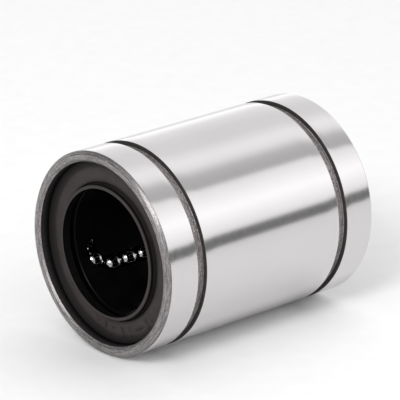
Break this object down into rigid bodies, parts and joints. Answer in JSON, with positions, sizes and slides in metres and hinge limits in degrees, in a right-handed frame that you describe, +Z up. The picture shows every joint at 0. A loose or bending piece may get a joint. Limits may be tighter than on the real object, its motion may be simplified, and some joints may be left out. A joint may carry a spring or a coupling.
{
  "type": "linear ball bushing",
  "caption": "Closed linear ball bushing: ground steel sleeve with snap-ring grooves, lipped end seals, and a cage of recirculating steel balls around a shaft bore.",
  "frame": {"origin": "middle of the shaft bore, half-way between the two end faces", "axes": "+X along the shaft from the front seal to the rear seal, +Z up, +Y across"},
  "size_m": [0.042, 0.032, 0.032],
  "materials": {
    "ground_steel": "ground and polished",
    "cage_plastic": "moulded",
    "seal_rubber": "matt moulded",
    "ring_steel": "phosphated",
    "ball_steel": "polished"
  },
  "bodies": {
    "bushing": {"outer_sleeve": "ground_steel", "ball_cage": "cage_plastic", "side_ring_front": "ring_steel", "side_ring_rear": "ring_steel", "seal_core_front": "ring_steel", "seal_core_rear": "ring_steel", "seal_front": "seal_rubber", "seal_rear": "seal_rubber"},
    "circuit_1_load": {"circuit_1_load_balls": "ball_steel"},
    "circuit_1_front_turn": {"circuit_1_front_turn_balls": "ball_steel"},
    "circuit_1_return": {"circuit_1_return_balls": "ball_steel"},
    "circuit_1_rear_turn": {"circuit_1_rear_turn_balls": "ball_steel"},
    "circuit_2_load": {"circuit_2_load_balls": "ball_steel"},
    "circuit_2_front_turn": {"circuit_2_front_turn_balls": "ball_steel"},
    "circuit_2_return": {"circuit_2_return_balls": "ball_steel"},
    "circuit_2_rear_turn": {"circuit_2_rear_turn_balls": "ball_steel"},
    "circuit_3_load": {"circuit_3_load_balls": "ball_steel"},
    "circuit_3_front_turn": {"circuit_3_front_turn_balls": "ball_steel"},
    "circuit_3_return": {"circuit_3_return_balls": "ball_steel"},
    "circuit_3_rear_turn": {"circuit_3_rear_turn_balls": "ball_steel"},
    "circuit_4_load": {"circuit_4_load_balls": "ball_steel"},
    "circuit_4_front_turn": {"circuit_4_front_turn_balls": "ball_steel"},
    "circuit_4_return": {"circuit_4_return_balls": "ball_steel"},
    "circuit_4_rear_turn": {"circuit_4_rear_turn_balls": "ball_steel"},
    "circuit_5_load": {"circuit_5_load_balls": "ball_steel"},
    "circuit_5_front_turn": {"circuit_5_front_turn_balls": "ball_steel"},
    "circuit_5_return": {"circuit_5_return_balls": "ball_steel"},
    "circuit_5_rear_turn": {"circuit_5_rear_turn_balls": "ball_steel"}
  },
  "joints": [
    {"name": "circuit_1_load_roll", "type": "slide", "parent": "bushing", "child": "circuit_1_load", "axis": [-1, 0, 0], "range_m": [-0.00285, 0.00035]},
    {"name": "circuit_1_return_roll", "type": "slide", "parent": "bushing", "child": "circuit_1_return", "axis": [1, 0, 0], "range_m": [-0.00285, 0.00035]},
    {"name": "circuit_1_front_turn_roll", "type": "hinge", "parent": "bushing", "child": "circuit_1_front_turn", "pos_m": [-0.0112, 0.01084, -0.00388], "axis": [0.1392, 0.8883, -0.4377], "range_deg": [-53.42, 6.62]},
    {"name": "circuit_1_rear_turn_roll", "type": "hinge", "parent": "bushing", "child": "circuit_1_rear_turn", "pos_m": [0.0112, 0.01084, -0.00388], "axis": [-0.1392, 0.8883, -0.4377], "range_deg": [-53.42, 6.62]},
    {"name": "circuit_2_load_roll", "type": "slide", "parent": "bushing", "child": "circuit_2_load", "axis": [-1, 0, 0], "range_m": [-0.00285, 0.00035]},
    {"name": "circuit_2_return_roll", "type": "slide", "parent": "bushing", "child": "circuit_2_return", "axis": [1, 0, 0], "range_m": [-0.00285, 0.00035]},
    {"name": "circuit_2_front_turn_roll", "type": "hinge", "parent": "bushing", "child": "circuit_2_front_turn", "pos_m": [-0.0112, 0.00704, 0.00911], "axis": [0.1392, 0.6907, 0.7096], "range_deg": [-53.42, 6.62]},
    {"name": "circuit_2_rear_turn_roll", "type": "hinge", "parent": "bushing", "child": "circuit_2_rear_turn", "pos_m": [0.0112, 0.00704, 0.00911], "axis": [-0.1392, 0.6907, 0.7096], "range_deg": [-53.42, 6.62]},
    {"name": "circuit_3_load_roll", "type": "slide", "parent": "bushing", "child": "circuit_3_load", "axis": [-1, 0, 0], "range_m": [-0.00285, 0.00035]},
    {"name": "circuit_3_return_roll", "type": "slide", "parent": "bushing", "child": "circuit_3_return", "axis": [1, 0, 0], "range_m": [-0.00285, 0.00035]},
    {"name": "circuit_3_front_turn_roll", "type": "hinge", "parent": "bushing", "child": "circuit_3_front_turn", "pos_m": [-0.0112, -0.00649, 0.00951], "axis": [0.1392, -0.4614, 0.8762], "range_deg": [-53.42, 6.62]},
    {"name": "circuit_3_rear_turn_roll", "type": "hinge", "parent": "bushing", "child": "circuit_3_rear_turn", "pos_m": [0.0112, -0.00649, 0.00951], "axis": [-0.1392, -0.4614, 0.8762], "range_deg": [-53.42, 6.62]},
    {"name": "circuit_4_load_roll", "type": "slide", "parent": "bushing", "child": "circuit_4_load", "axis": [-1, 0, 0], "range_m": [-0.00285, 0.00035]},
    {"name": "circuit_4_return_roll", "type": "slide", "parent": "bushing", "child": "circuit_4_return", "axis": [1, 0, 0], "range_m": [-0.00285, 0.00035]},
    {"name": "circuit_4_front_turn_roll", "type": "hinge", "parent": "bushing", "child": "circuit_4_front_turn", "pos_m": [-0.0112, -0.01105, -0.00323], "axis": [0.1392, -0.9759, -0.1681], "range_deg": [-53.42, 6.62]},
    {"name": "circuit_4_rear_turn_roll", "type": "hinge", "parent": "bushing", "child": "circuit_4_rear_turn", "pos_m": [0.0112, -0.01105, -0.00323], "axis": [-0.1392, -0.9759, -0.1681], "range_deg": [-53.42, 6.62]},
    {"name": "circuit_5_load_roll", "type": "slide", "parent": "bushing", "child": "circuit_5_load", "axis": [-1, 0, 0], "range_m": [-0.00285, 0.00035]},
    {"name": "circuit_5_return_roll", "type": "slide", "parent": "bushing", "child": "circuit_5_return", "axis": [1, 0, 0], "range_m": [-0.00285, 0.00035]},
    {"name": "circuit_5_front_turn_roll", "type": "hinge", "parent": "bushing", "child": "circuit_5_front_turn", "pos_m": [-0.0112, -0.00034, -0.0115], "axis": [0.1392, -0.1417, -0.9801], "range_deg": [-53.42, 6.62]},
    {"name": "circuit_5_rear_turn_roll", "type": "hinge", "parent": "bushing", "child": "circuit_5_rear_turn", "pos_m": [0.0112, -0.00034, -0.0115], "axis": [-0.1392, -0.1417, -0.9801], "range_deg": [-53.42, 6.62]}
  ],
  "couplings": [
    {"joint": "circuit_1_return_roll", "follows": "circuit_1_load_roll", "ratio": 1},
    {"joint": "circuit_1_front_turn_roll", "follows": "circuit_1_load_roll", "rad_per_m": 327.25},
    {"joint": "circuit_1_rear_turn_roll", "follows": "circuit_1_load_roll", "rad_per_m": 327.25},
    {"joint": "circuit_2_return_roll", "follows": "circuit_2_load_roll", "ratio": 1},
    {"joint": "circuit_2_front_turn_roll", "follows": "circuit_2_load_roll", "rad_per_m": 327.25},
    {"joint": "circuit_2_rear_turn_roll", "follows": "circuit_2_load_roll", "rad_per_m": 327.25},
    {"joint": "circuit_3_return_roll", "follows": "circuit_3_load_roll", "ratio": 1},
    {"joint": "circuit_3_front_turn_roll", "follows": "circuit_3_load_roll", "rad_per_m": 327.25},
    {"joint": "circuit_3_rear_turn_roll", "follows": "circuit_3_load_roll", "rad_per_m": 327.25},
    {"joint": "circuit_4_return_roll", "follows": "circuit_4_load_roll", "ratio": 1},
    {"joint": "circuit_4_front_turn_roll", "follows": "circuit_4_load_roll", "rad_per_m": 327.25},
    {"joint": "circuit_4_rear_turn_roll", "follows": "circuit_4_load_roll", "rad_per_m": 327.25},
    {"joint": "circuit_5_return_roll", "follows": "circuit_5_load_roll", "ratio": 1},
    {"joint": "circuit_5_front_turn_roll", "follows": "circuit_5_load_roll", "rad_per_m": 327.25},
    {"joint": "circuit_5_rear_turn_roll", "follows": "circuit_5_load_roll", "rad_per_m": 327.25}
  ]
}
